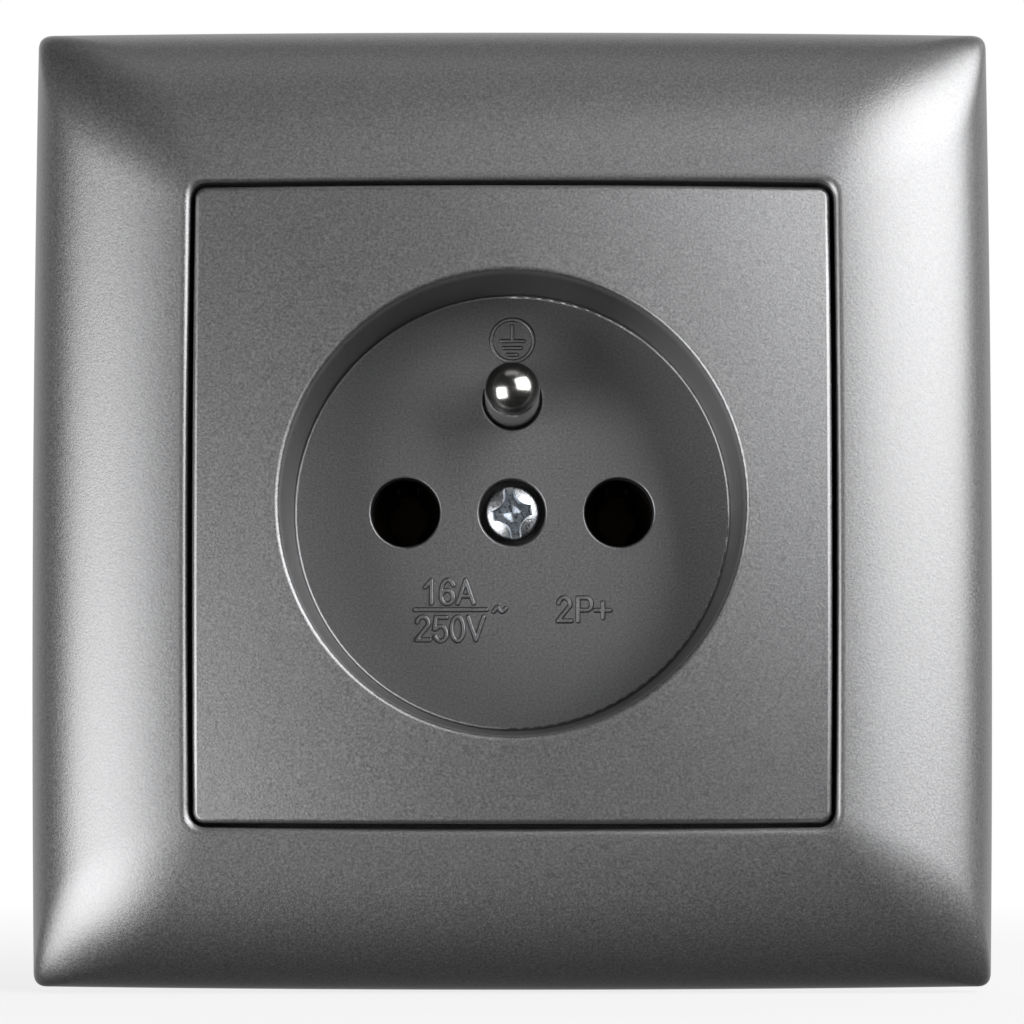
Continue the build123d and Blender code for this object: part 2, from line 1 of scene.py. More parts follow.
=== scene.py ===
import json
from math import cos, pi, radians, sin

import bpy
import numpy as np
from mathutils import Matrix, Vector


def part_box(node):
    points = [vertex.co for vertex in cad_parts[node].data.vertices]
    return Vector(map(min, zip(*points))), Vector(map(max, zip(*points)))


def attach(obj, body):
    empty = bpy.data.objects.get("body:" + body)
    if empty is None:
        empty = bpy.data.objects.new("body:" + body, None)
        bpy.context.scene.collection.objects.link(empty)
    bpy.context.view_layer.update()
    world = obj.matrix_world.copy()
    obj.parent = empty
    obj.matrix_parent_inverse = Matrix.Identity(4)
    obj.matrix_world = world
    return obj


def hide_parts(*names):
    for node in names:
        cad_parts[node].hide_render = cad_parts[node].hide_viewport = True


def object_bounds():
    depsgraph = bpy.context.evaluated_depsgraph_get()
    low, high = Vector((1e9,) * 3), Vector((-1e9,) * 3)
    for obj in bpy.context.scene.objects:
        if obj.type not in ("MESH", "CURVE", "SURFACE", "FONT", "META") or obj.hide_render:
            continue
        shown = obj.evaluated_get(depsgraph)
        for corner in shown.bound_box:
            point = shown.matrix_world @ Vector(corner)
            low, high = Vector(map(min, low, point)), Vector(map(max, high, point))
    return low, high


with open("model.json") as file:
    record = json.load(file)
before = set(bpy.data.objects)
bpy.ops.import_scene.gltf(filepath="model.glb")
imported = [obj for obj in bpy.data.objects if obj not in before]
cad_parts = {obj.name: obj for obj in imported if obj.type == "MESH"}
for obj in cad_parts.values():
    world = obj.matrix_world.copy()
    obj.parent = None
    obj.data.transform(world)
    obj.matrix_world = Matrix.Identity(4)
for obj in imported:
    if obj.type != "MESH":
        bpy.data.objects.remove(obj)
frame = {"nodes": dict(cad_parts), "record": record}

# %% [markdown]
# A wall socket is a small thing that is all about its finish: a domed frame and a square plate,
# both sprayed with an anthracite metallic lacquer, round a recess that holds a polished pin and
# a zinc plated screw. The frame that was loaded above brings every real part at its real size,
# in metres, with the wall at y = 0 and the room towards -Y. We measure its box at once, because
# nothing that is added later may stick out of it.

mm = 0.001
cad_box = [list(corner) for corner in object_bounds()]
bpy.context.scene.view_settings.view_transform = "Standard"
print("parts:", len(frame["nodes"]), "box in mm:", np.round(np.array(cad_box) / mm, 2).tolist())

# %% [markdown]
# The floor of the recess is the plane that the raised marks stand on, and the spray gun reaches
# hardly deeper. Its depth isn't typed in: the plate's mesh says where the floor is, as the depth
# that most of its points near the middle have. Depths of 4.5 mm and more belong to the back of
# the plate, so they don't count.

# %% Find the recess floor
floor_reach = 19 * mm
plate_back_mm = 4.5
plate = frame["nodes"]["centre_plate"]
points = np.empty(len(plate.data.vertices) * 3, dtype=np.float32)
plate.data.vertices.foreach_get("co", points)
points = points.reshape(-1, 3)
near_middle = points[np.hypot(points[:, 0], points[:, 2]) < floor_reach]
depths, counts = np.unique(np.round(near_middle[:, 1] / mm, 2), return_counts=True)
room_side = depths < plate_back_mm
recess_floor_y = float(depths[room_side][np.argmax(counts[room_side])] * mm)
print("recess floor at y in mm:", round(recess_floor_y / mm, 2))

# %% [markdown]
# The photograph was taken from nearly straight ahead, from a little below the middle, with a
# long lens. A pinhole camera fitted to the frame's edges, the plate and the two apertures gives
# its place, its tilt and its focal length in pixels, which we turn into millimetres of lens.

# %% Camera
image_side_px = 1024
focal_px = 4771
camera_place = (0.2 * mm, -419.4 * mm, -24.0 * mm)
camera_tilt_up = radians(3.25)
camera_turn = radians(0.03)

camera_data = bpy.data.cameras.new("camera")
camera_data.sensor_width = 36.0
camera_data.lens = camera_data.sensor_width * focal_px / image_side_px
camera_data.clip_start = 0.01
camera_data.clip_end = 20.0
camera = bpy.data.objects.new("camera", camera_data)
camera.location = camera_place
camera.rotation_euler = (pi / 2 + camera_tilt_up, 0, camera_turn)
bpy.context.scene.collection.objects.link(camera)
bpy.context.scene.camera = camera
print("lens in mm:", round(camera_data.lens, 1))

# %% [markdown]
# The round end of the earth pin is a mirror ball, so it shows the studio: one soft box on the
# left that reaches down, one on the right that reaches up, and a faint light from above. Each
# soft box is an area lamp turned to face the socket. Its brightness is a radiance, which we turn
# into watts, because a lamp of area A and power P has the radiance P / (pi A).

# %% Soft boxes
def soft_box(name, azimuth, elevation, distance, width, height, radiance):
    """An area lamp at this azimuth (0 is the camera's side, plus is right) and elevation."""
    lamp = bpy.data.lights.new(name, "AREA")
    lamp.shape = "RECTANGLE"
    lamp.size = width
    lamp.size_y = height
    lamp.energy = radiance * pi * width * height
    box = bpy.data.objects.new(name, lamp)
    turn, rise = radians(azimuth), radians(elevation)
    box.location = (
        distance * sin(turn) * cos(rise),
        -distance * cos(turn) * cos(rise),
        distance * sin(rise),
    )
    box.rotation_euler = (pi / 2 - rise, 0, turn)
    box.visible_camera = False
    bpy.context.scene.collection.objects.link(box)


soft_box("soft_box_left", -46.5, -15, 0.91, 0.72, 0.66, 4.0)
soft_box("soft_box_right", 51, 21.5, 0.78, 0.92, 0.66, 4.1)
soft_box("soft_box_top", 0, 72.8, 0.75, 0.60, 0.35, 0.35)

# %% [markdown]
# The world, the floor and the finishes are node trees, and many of their nodes either compute
# one value or map one range of values to another. Two helpers make these.

# %% Node helpers
def math_node(tree, operation, kind="Math"):
    """A node of the kind Math or VectorMath that does this operation."""
    node = tree.nodes.new("ShaderNode" + kind)
    node.operation = operation
    return node


def map_range(tree, **limits):
    """A Map Range node with some of its limits set: from_min, from_max, to_min and to_max."""
    node = tree.nodes.new("ShaderNodeMapRange")
    for name, value in limits.items():
        node.inputs[name.replace("_", " ").title()].default_value = value
    return node


# %% [markdown]
# The backdrop behind the socket is a pale sheet that is darker at its foot, while the side where
# the photographer stands is a dark room. The world shows plain white to the camera. To every
# other ray it is like the sheet towards +Y and like the dim room towards -Y, so metal shows a
# pale sheet at its rims and the dark room in its middle, and the sheet lights the back. A ray's
# direction has the length 1, so its parts along Y and Z say how near it comes to the middle of
# the sheet and to its foot.

# %% World
room_light = 0.02
sheet_light = 0.75
sheet_foot_light = 0.12
sheet_full_y = 0.6
sheet_foot_z = -0.7
world = bpy.data.worlds.new("studio")
world.use_nodes = True
bpy.context.scene.world = world
tree = world.node_tree
tree.nodes.clear()
rays = tree.nodes.new("ShaderNodeLightPath")
direction = tree.nodes.new("ShaderNodeTexCoord")
split = tree.nodes.new("ShaderNodeSeparateXYZ")
sheet = map_range(tree, from_min=0.0, from_max=sheet_full_y, to_min=room_light)
foot = map_range(
    tree, from_min=sheet_foot_z, from_max=0.0, to_min=sheet_foot_light, to_max=sheet_light
)
strength = math_node(tree, "MAXIMUM")
background = tree.nodes.new("ShaderNodeBackground")
output = tree.nodes.new("ShaderNodeOutputWorld")
background.inputs["Color"].default_value = (1, 1, 1, 1)
link = tree.links.new
link(direction.outputs["Generated"], split.inputs[0])
link(split.outputs["Y"], sheet.inputs["Value"])
link(split.outputs["Z"], foot.inputs["Value"])
link(foot.outputs["Result"], sheet.inputs["To Max"])
link(sheet.outputs["Result"], strength.inputs[0])
link(rays.outputs["Is Camera Ray"], strength.inputs[1])
link(strength.outputs[0], background.inputs["Strength"])
link(background.outputs[0], output.inputs[0])
print("world strength of room, sheet and its foot:", room_light, sheet_light, sheet_foot_light)

# %% [markdown]
# The floor is a plain pale sheet under the socket's lower edge. It is nearly white to the eye
# and keeps a soft shadow: near the socket a part of what it shows is how it is lit, the rest is
# its own white, and further off it is all white, so no horizon shows. One soft box reaches below
# the floor, so the floor doesn't stop light, it only takes the shadow.

# %% Floor
floor_half = 3.0
floor_gap = 0.2 * mm
floor_z = cad_box[0][2] - floor_gap
paper_white = 0.9
shadow_near = 0.05
shadow_far = 0.35
least_own_white = 0.8
floor_mesh = bpy.data.meshes.new("floor")
floor_mesh.from_pydata(
    [
        (-floor_half, -floor_half, floor_z),
        (floor_half, -floor_half, floor_z),
        (floor_half, floor_half, floor_z),
        (-floor_half, floor_half, floor_z),
    ],
    [],
    [(0, 1, 2, 3)],
)
floor = bpy.data.objects.new("floor", floor_mesh)
bpy.context.scene.collection.objects.link(floor)
floor.visible_shadow = False
floor.visible_glossy = False
floor.visible_diffuse = False

paper = bpy.data.materials.new("pale_paper")
paper.use_nodes = True
tree = paper.node_tree
tree.nodes.clear()
matt = tree.nodes.new("ShaderNodeBsdfDiffuse")
matt.inputs["Color"].default_value = (paper_white, paper_white, paper_white, 1)
white = tree.nodes.new("ShaderNodeEmission")
place = tree.nodes.new("ShaderNodeTexCoord")
away = math_node(tree, "LENGTH", "VectorMath")
own_white = map_range(
    tree, from_min=shadow_near, from_max=shadow_far, to_min=least_own_white, to_max=1.0
)
own_white.interpolation_type = "SMOOTHSTEP"
mix = tree.nodes.new("ShaderNodeMixShader")
output = tree.nodes.new("ShaderNodeOutputMaterial")
tree.links.new(place.outputs["Object"], away.inputs[0])
tree.links.new(away.outputs["Value"], own_white.inputs["Value"])
tree.links.new(own_white.outputs["Result"], mix.inputs[0])
tree.links.new(matt.outputs[0], mix.inputs[1])
tree.links.new(white.outputs[0], mix.inputs[2])
tree.links.new(mix.outputs[0], output.inputs[0])
floor_mesh.materials.append(paper)
print("floor at z in mm:", round(floor_z / mm, 2))

# %% [markdown]
# Every finish starts from the same few steps: a Principled shader with its fixed values set on
# the shader itself, and texture nodes that read Object coordinates, so that a pattern sticks to
# the part. This helper makes the material and hands back its tree, shader and coordinates.

# %% Material helper
def start_material(name, color, metallic, roughness):
    """A node material with one Principled shader, and the coordinates for its patterns."""
    material = bpy.data.materials.new(name)
    material.use_nodes = True
    nodes = material.node_tree.nodes
    shader = nodes["Principled BSDF"]
    shader.inputs["Base Color"].default_value = (*color, 1)
    shader.inputs["Metallic"].default_value = metallic
    shader.inputs["Roughness"].default_value = roughness
    return material, material.node_tree, shader, nodes.new("ShaderNodeTexCoord")


def new_group(name, inputs, outputs):
    """An empty node group with these named sockets, its input node and its output node."""
    group = bpy.data.node_groups.new(name, "ShaderNodeTree")
    for label, kind, value in inputs:
        socket = group.interface.new_socket(name=label, in_out="INPUT", socket_type=kind)
        if value is not None:
            socket.default_value = value
    for label, kind in outputs:
        group.interface.new_socket(name=label, in_out="OUTPUT", socket_type=kind)
    return group, group.nodes.new("NodeGroupInput"), group.nodes.new("NodeGroupOutput")


def input_names(group):
    """The names of a node group's inputs."""
    return [socket.name for socket in group.interface.items_tree if socket.in_out == "INPUT"]


# %% [markdown]
# Sprayed lacquer isn't smooth: it dries to a fine orange peel, and its metal flakes lie at
# slightly different angles, so it glitters a little. Both are noise at a known size, and the
# plated metals need the same kind of unevenness, so it is a node group with the size of the
# grain in millimetres, its depth and its share of light and dark as inputs.

# %% Grain node group
grain_group, given, made = new_group(
    "fine_grain",
    (
        ("Place", "NodeSocketVector", None),
        ("Base", "NodeSocketColor", (0.5, 0.5, 0.5, 1)),
        ("Grain mm", "NodeSocketFloat", 0.2),
        ("Color share", "NodeSocketFloat", 0.1),
        ("Roughness", "NodeSocketFloat", 0.4),
        ("Roughness share", "NodeSocketFloat", 0.1),
        ("Bump", "NodeSocketFloat", 0.3),
        ("Bump depth", "NodeSocketFloat", 0.00001),
    ),
    (
        ("Color", "NodeSocketColor"),
        ("Roughness", "NodeSocketFloat"),
        ("Normal", "NodeSocketVector"),
    ),
)
noise_mean = 0.5
nodes, link = grain_group.nodes, grain_group.links.new
scale = math_node(grain_group, "DIVIDE")
scale.inputs[0].default_value = 1 / mm
noise = nodes.new("ShaderNodeTexNoise")
noise.inputs["Detail"].default_value = 2.0
noise.inputs["Roughness"].default_value = 0.6
centred = math_node(grain_group, "SUBTRACT")
centred.inputs[1].default_value = noise_mean
tint = math_node(grain_group, "MULTIPLY_ADD")
tint.inputs[2].default_value = 1.0
shade = math_node(grain_group, "SCALE", "VectorMath")
rough = math_node(grain_group, "MULTIPLY_ADD")
bump = nodes.new("ShaderNodeBump")
link(given.outputs["Grain mm"], scale.inputs[1])
link(given.outputs["Place"], noise.inputs["Vector"])
link(scale.outputs[0], noise.inputs["Scale"])
link(noise.outputs["Fac"], centred.inputs[0])
link(centred.outputs[0], tint.inputs[0])
link(given.outputs["Color share"], tint.inputs[1])
link(given.outputs["Base"], shade.inputs[0])
link(tint.outputs[0], shade.inputs["Scale"])
link(centred.outputs[0], rough.inputs[0])
link(given.outputs["Roughness share"], rough.inputs[1])
link(given.outputs["Roughness"], rough.inputs[2])
link(given.outputs["Bump"], bump.inputs["Strength"])
link(given.outputs["Bump depth"], bump.inputs["Distance"])
link(noise.outputs["Fac"], bump.inputs["Height"])
link(shade.outputs[0], made.inputs["Color"])
link(rough.outputs[0], made.inputs["Roughness"])
link(bump.outputs[0], made.inputs["Normal"])


def add_grain(tree, shader, place, base, **values):
    """Places the grain group in a material, with its own values, and joins it to the shader."""
    grain = tree.nodes.new("ShaderNodeGroup")
    grain.node_tree = grain_group
    grain.inputs["Base"].default_value = (*base, 1)
    for name, value in values.items():
        grain.inputs[name.replace("_", " ").capitalize()].default_value = value
    tree.links.new(place, grain.inputs["Place"])
    tree.links.new(grain.outputs["Color"], shader.inputs["Base Color"])
    tree.links.new(grain.outputs["Roughness"], shader.inputs["Roughness"])
    tree.links.new(grain.outputs["Normal"], shader.inputs["Normal"])
    return grain


print("grain inputs:", input_names(grain_group))

# %% [markdown]
# The spray gun stands in the room, so the lacquer covers what faces the room and the outer
# sides, and thins out over the last edge before the wall. Behind that the frame and the plate
# are bare black plastic, and the lacquer thins out down the walls of the small holes, over three
# millimetres under the floor of the recess. The contacts have such a border too: their front part
# is painted near black, a painted shade for the shade inside the apertures, and deeper in the
# bronze is bright. One node group makes both. It gives a share of the outer finish that falls
# with depth, and with how far the surface faces the wall: it is full up to a normal whose part
# along Y is 0.1, and nothing from the facing limit on.

# %% Outer finish node group
outer_group, given, made = new_group(
    "outer_finish",
    (
        ("Place", "NodeSocketVector", None),
        ("Normal", "NodeSocketVector", None),
        ("Outer", "NodeSocketColor", (0.5, 0.5, 0.5, 1)),
        ("Inner", "NodeSocketColor", (0.02, 0.02, 0.02, 1)),
        ("Outer metallic", "NodeSocketFloat", 0.9),
        ("Inner metallic", "NodeSocketFloat", 0.0),
        ("Fades from", "NodeSocketFloat", 0.0),
        ("Fades to", "NodeSocketFloat", 0.001),
        ("Facing limit", "NodeSocketFloat", 0.75),
    ),
    (("Color", "NodeSocketColor"), ("Metallic", "NodeSocketFloat")),
)
full_coat_facing = 0.1
nodes, link = outer_group.nodes, outer_group.links.new
facing = nodes.new("ShaderNodeSeparateXYZ")
where = nodes.new("ShaderNodeSeparateXYZ")
turned = map_range(outer_group, from_max=full_coat_facing)
deep = map_range(outer_group, to_min=1.0, to_max=0.0)
share = math_node(outer_group, "MULTIPLY")
blend = nodes.new("ShaderNodeMix")
blend.data_type = "RGBA"
metal = nodes.new("ShaderNodeMix")
link(given.outputs["Normal"], facing.inputs[0])
link(facing.outputs["Y"], turned.inputs["Value"])
link(given.outputs["Facing limit"], turned.inputs["From Min"])
link(given.outputs["Place"], where.inputs[0])
link(where.outputs["Y"], deep.inputs["Value"])
link(given.outputs["Fades from"], deep.inputs["From Min"])
link(given.outputs["Fades to"], deep.inputs["From Max"])
link(turned.outputs["Result"], share.inputs[0])
link(deep.outputs["Result"], share.inputs[1])
link(share.outputs[0], blend.inputs["Factor"])
link(given.outputs["Inner"], blend.inputs["A"])
link(given.outputs["Outer"], blend.inputs["B"])
link(share.outputs[0], metal.inputs["Factor"])
link(given.outputs["Inner metallic"], metal.inputs["A"])
link(given.outputs["Outer metallic"], metal.inputs["B"])
link(blend.outputs["Result"], made.inputs["Color"])
link(metal.outputs["Result"], made.inputs["Metallic"])
print("outer finish inputs:", input_names(outer_group))

# %% [markdown]
# Where a raised mark meets its floor, and at the bottom of a screw's recess, the colour is darkened
# as painted shade, for the shade that falls in these creases and hollows. Such places are known
# when a mesh is made, so the mesh carries them as a point attribute, from 0 to 1. This group
# darkens a colour there. On a mesh without the attribute it reads 0 and changes nothing.

# %% Painted shade node group
painted_shade_group, given, made = new_group(
    "painted_shade_tint",
    (
        ("Color", "NodeSocketColor", (0.5, 0.5, 0.5, 1)),
        ("Painted shade", "NodeSocketFloat", 0.0),
        ("Tint", "NodeSocketColor", (0.3, 0.3, 0.3, 1)),
    ),
    (("Color", "NodeSocketColor"),),
)
tinted = painted_shade_group.nodes.new("ShaderNodeMix")
tinted.data_type = "RGBA"
tinted.blend_type = "MULTIPLY"
painted_shade_group.links.new(given.outputs["Painted shade"], tinted.inputs["Factor"])
painted_shade_group.links.new(given.outputs["Color"], tinted.inputs["A"])
painted_shade_group.links.new(given.outputs["Tint"], tinted.inputs["B"])
painted_shade_group.links.new(tinted.outputs["Result"], made.inputs["Color"])


def add_painted_shade(tree, shader, tint):
    """Puts the painted shade group between what feeds the shader's colour and the shader. Returns
    it.
    """
    before = shader.inputs["Base Color"].links[0].from_socket
    painted_shade = tree.nodes.new("ShaderNodeGroup")
    painted_shade.node_tree = painted_shade_group
    painted_shade.inputs["Tint"].default_value = (*tint, 1)
    shade_mask = tree.nodes.new("ShaderNodeAttribute")
    shade_mask.attribute_name = "painted_shade"
    tree.links.new(before, painted_shade.inputs["Color"])
    tree.links.new(shade_mask.outputs["Fac"], painted_shade.inputs["Painted shade"])
    tree.links.new(painted_shade.outputs["Color"], shader.inputs["Base Color"])
    return painted_shade


print("crease inputs:", input_names(painted_shade_group))

# %% [markdown]
# The finishes, one for each material that the record names. The lacquer is a dark metal paint:
# mostly metallic, with a soft lobe that spreads the soft boxes into broad bands. The base is
# black thermoset, so the apertures look black, and each metal has its own colour and gloss.

# %% Finishes
finishes = {
    "lacquered_plastic": dict(
        color=(0.33, 0.33, 0.335), metallic=0.9, roughness=0.383,
        grain=dict(grain_mm=0.2, color_share=0.9, roughness_share=0.2, bump=0.9, bump_depth=1.2e-5),
    ),
    "moulded_base": dict(
        color=(0.035, 0.035, 0.037), metallic=0.0, roughness=0.55,
        grain=dict(grain_mm=0.5, color_share=0.5, roughness_share=0.3, bump=0.4, bump_depth=6e-6),
    ),
    "zinc_steel": dict(
        color=(0.70, 0.72, 0.75), metallic=1.0, roughness=0.33,
        grain=dict(grain_mm=0.2, color_share=0.9, roughness_share=0.4, bump=1.0, bump_depth=2e-5),
    ),
    "spring_steel": dict(
        color=(0.34, 0.34, 0.36), metallic=1.0, roughness=0.35,
        grain=dict(grain_mm=0.4, color_share=0.2, roughness_share=0.2, bump=0.2, bump_depth=4e-6),
    ),
    "nickelled_brass": dict(
        color=(0.58, 0.57, 0.55), metallic=1.0, roughness=0.21,
        grain=dict(grain_mm=0.3, color_share=0.3, roughness_share=0.12, bump=0.4, bump_depth=3e-6),
    ),
    "bronze": dict(
        color=(0.45, 0.29, 0.17), metallic=1.0, roughness=0.38,
        grain=dict(grain_mm=0.9, color_share=0.4, roughness_share=0.2, bump=0.2, bump_depth=4e-6),
    ),
    "brass_screw": dict(
        color=(0.72, 0.54, 0.24), metallic=1.0, roughness=0.28,
        grain=dict(grain_mm=0.6, color_share=0.2, roughness_share=0.2, bump=0.2, bump_depth=4e-6),
    ),
}
materials, places, grains = {}, {}, {}
for slot_name, finish in finishes.items():
    material, tree, shader, place = start_material(
        slot_name, finish["color"], finish["metallic"], finish["roughness"]
    )
    grains[slot_name] = add_grain(
        tree, shader, place.outputs["Object"], finish["color"],
        roughness=finish["roughness"], **finish["grain"],
    )
    materials[slot_name], places[slot_name] = material, place
print("finishes:", sorted(materials))

# %% [markdown]
# The lacquer and the bronze take the outer finish between their grain and their shader. For the
# lacquer the grain's colour is the outer finish and bare plastic the inner one. For the bronze
# the outer finish is a near black painted shade on the front of the contacts, which lie in the
# shade of the apertures. It counts on every side of the strip, because no normal reaches its
# facing limit of 4. The painted shade of creases and hollows comes after them, on the lacquer and
# the zinc.

# %% Lacquer over plastic, painted shade over bronze
def add_outer(slot_name, bare, fades_from, fades_to, outer_metallic, inner_metallic, facing):
    """Joins the outer finish group to a material. bare is the colour that the grain isn't."""
    tree = materials[slot_name].node_tree
    shader = tree.nodes["Principled BSDF"]
    outer = tree.nodes.new("ShaderNodeGroup")
    outer.node_tree = outer_group
    place = places[slot_name]
    grain_color = grains[slot_name].outputs["Color"]
    outer.inputs["Fades from"].default_value = fades_from
    outer.inputs["Fades to"].default_value = fades_to
    outer.inputs["Outer metallic"].default_value = outer_metallic
    outer.inputs["Inner metallic"].default_value = inner_metallic
    outer.inputs["Facing limit"].default_value = facing
    plain, grained = ("Inner", "Outer") if outer_metallic > inner_metallic else ("Outer", "Inner")
    outer.inputs[plain].default_value = (*bare, 1)
    tree.links.new(grain_color, outer.inputs[grained])
    tree.links.new(place.outputs["Object"], outer.inputs["Place"])
    tree.links.new(place.outputs["Normal"], outer.inputs["Normal"])
    tree.links.new(outer.outputs["Color"], shader.inputs["Base Color"])
    tree.links.new(outer.outputs["Metallic"], shader.inputs["Metallic"])


contact_front_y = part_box("line_contact")[0][1]
add_outer(
    "lacquered_plastic",
    bare=(0.03, 0.03, 0.031),
    fades_from=recess_floor_y + 0.3 * mm,
    fades_to=recess_floor_y + 3.5 * mm,
    outer_metallic=0.9,
    inner_metallic=0.0,
    facing=0.75,
)
# Painted shade: the contacts are near black for 7 mm behind their front, fading to bronze by 15 mm,
# for the shade inside the apertures
add_outer(
    "bronze",
    bare=(0.02, 0.015, 0.01),
    fades_from=contact_front_y + 7.0 * mm,
    fades_to=contact_front_y + 15.0 * mm,
    outer_metallic=0.3,
    inner_metallic=1.0,
    facing=4.0,
)
# Painted shade: the lacquer darkens to 0.14 at the foot of the raised marks, and the zinc turns
# darker and bluer at the bottom of the screw's recess
painted_shade_tints = {"lacquered_plastic": (0.14, 0.14, 0.14), "zinc_steel": (0.5, 0.55, 0.6)}
painted_shades = {}
for slot_name, tint in painted_shade_tints.items():
    tree = materials[slot_name].node_tree
    painted_shades[slot_name] = add_painted_shade(tree, tree.nodes["Principled BSDF"], tint)
print("contacts start at y in mm:", round(contact_front_y / mm, 2))

# %% [markdown]
# The steep wall of the recess and the fillet at its foot are darkened as painted shade, for the
# shade inside the recess, so the wall is darker than the floor. That place is known without an
# attribute: it lies within 21 mm of the axis and under the lip, and its normal points sideways,
# not along -Y as on the floor. Its mask joins the painted shade mask of the creases.

# %% Painted shade on the recess wall
wall_reach = 21 * mm
lip_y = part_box("centre_plate")[0][1]
shade_from_y = lip_y + 1.2 * mm
shade_to_y = lip_y + 3.0 * mm
floor_facing = -0.98
wall_facing = -0.85
# Painted shade: the recess wall is darkened by up to this share
wall_shade_share = 0.58
tree = materials["lacquered_plastic"].node_tree
place = places["lacquered_plastic"]
painted_shade = painted_shades["lacquered_plastic"]
shade_mask = painted_shade.inputs["Painted shade"].links[0].from_socket
flat = math_node(tree, "MULTIPLY", "VectorMath")
flat.inputs[1].default_value = (1, 0, 1)
from_axis = math_node(tree, "LENGTH", "VectorMath")
inside = math_node(tree, "LESS_THAN")
inside.inputs[1].default_value = wall_reach
facing = tree.nodes.new("ShaderNodeSeparateXYZ")
steep_shade = map_range(tree, from_min=floor_facing, from_max=wall_facing, to_max=wall_shade_share)
where = tree.nodes.new("ShaderNodeSeparateXYZ")
below_lip = map_range(tree, from_min=shade_from_y, from_max=shade_to_y)
deep_enough = math_node(tree, "MULTIPLY")
wall_shade = math_node(tree, "MULTIPLY")
both = math_node(tree, "MAXIMUM")
link = tree.links.new
link(place.outputs["Object"], flat.inputs[0])
link(flat.outputs["Vector"], from_axis.inputs[0])
link(from_axis.outputs["Value"], inside.inputs[0])
link(place.outputs["Normal"], facing.inputs[0])
link(facing.outputs["Y"], steep_shade.inputs["Value"])
link(place.outputs["Object"], where.inputs[0])
link(where.outputs["Y"], below_lip.inputs["Value"])
link(inside.outputs[0], deep_enough.inputs[0])
link(below_lip.outputs["Result"], deep_enough.inputs[1])
link(deep_enough.outputs[0], wall_shade.inputs[0])
link(steep_shade.outputs["Result"], wall_shade.inputs[1])
link(wall_shade.outputs[0], both.inputs[0])
link(shade_mask, both.inputs[1])
link(both.outputs[0], painted_shade.inputs["Painted shade"])
print("share of the darker coat on the wall:", wall_shade_share)

# %% [markdown]
# Each CAD node now gets the finish that the record names for it.

# %% Finish every node
slots = {s["node"]: s["material_slot"] for s in frame["record"]["subparts"]}
for name, node in frame["nodes"].items():
    node.data.materials.clear()
    node.data.materials.append(materials[slots[name]])
print("nodes with a finish:", len(frame["nodes"]))

# %% [markdown]
# New pieces are meshes from numpy arrays. This helper takes the corner points and the faces'
# corner numbers as arrays and gives an object at the origin that rides on the socket's one body
# and names the finish that it takes. It is smooth shaded, unless an array says which faces are,
# and it carries a value of painted shade for each point where one is given.

# %% Mesh helper
def add_piece(name, points, quads, slot_name, painted_shade=None, smooth=None):
    """A mesh of these points (n, 3), in metres, and quads (m, 4).

    Painted shade is given as one value for each point, and smooth as one truth value for each
    quad. Without smooth, all quads are smooth.
    """
    smooth = np.ones(len(quads), dtype=bool) if smooth is None else smooth
    mesh = bpy.data.meshes.new(name)
    mesh.vertices.add(len(points))
    mesh.vertices.foreach_set("co", points.astype(np.float32).ravel())
    mesh.loops.add(quads.size)
    mesh.loops.foreach_set("vertex_index", quads.astype(np.int32).ravel())
    mesh.polygons.add(len(quads))
    mesh.polygons.foreach_set("loop_start", np.arange(0, quads.size, 4, dtype=np.int32))
    mesh.polygons.foreach_set("use_smooth", smooth)
    mesh.update(calc_edges=True)
    if painted_shade is not None:
        mesh.attributes.new("painted_shade", "FLOAT", "POINT").data.foreach_set("value", painted_shade)
    piece = bpy.data.objects.new(name, mesh)
    bpy.context.scene.collection.objects.link(piece)
    mesh.materials.append(materials[slot_name])
    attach(piece, "root")
    print(name, "points:", len(mesh.vertices), "faces:", len(mesh.polygons))
    return piece


# %% [markdown]
# The cover frame is the largest thing in the picture, and its lacquer shows every change of
# curvature. On the real frame the four pillow shaped sides flow into each other, so a highlight
# fades round a corner and never stops at a line. A corner made of an arc between straight sides
# would show such a line, because its curvature jumps. We make the frame as a profile that is
# carried round a square: each profile point follows its own square, and the corners of these
# squares are curves whose curvature starts from nothing.

# %% Square paths
corner_power = 2 / 2.6
corner_stretch = 1.25


def square_path(half_side, corner_r, bulge, height, side_steps=26, corner_steps=30):
    """One closed row per profile point: points round a square, as an array (rows, columns, 3).

    A corner is the curve of cos(a) ** corner_power and sin(a) ** corner_power, like an arc but
    with no curvature at its ends, and it reaches corner_stretch times as far along the sides as
    the arc that it stands for. The sides bow outwards: a point at the share q of the half side
    is moved in by bulge * q * q.
    """
    half, bow, rise = (np.asarray(v, float)[:, None] for v in (half_side, bulge, height))
    reach = corner_stretch * np.asarray(corner_r, float)[:, None]
    angle = np.linspace(0, pi / 2, corner_steps)[None]
    along = np.linspace(-1, 1, side_steps + 2)[None, 1:-1]
    side_x = np.broadcast_to(half, (len(half), side_steps))
    side_z = along * (half - reach)
    corner_x = half - reach + reach * np.abs(np.cos(angle)) ** corner_power
    corner_z = half - reach + reach * np.abs(np.sin(angle)) ** corner_power
    x = np.hstack([side_x, corner_x])
    z = np.hstack([side_z, corner_z])
    x, z = x - bow * (z / half) ** 2 * (x / half), z - bow * (x / half) ** 2 * (z / half)
    x, z = np.hstack([x, -z, -x, z]), np.hstack([z, x, -z, -x])
    return np.stack([x, np.broadcast_to(-rise, x.shape), z], -1) * mm


frame_half = cad_box[1][0] / mm
opening_half = 27.95
crown_half = 25.0
crown_h = 10.0
rim_h = 1.8
wall_t = 2.0
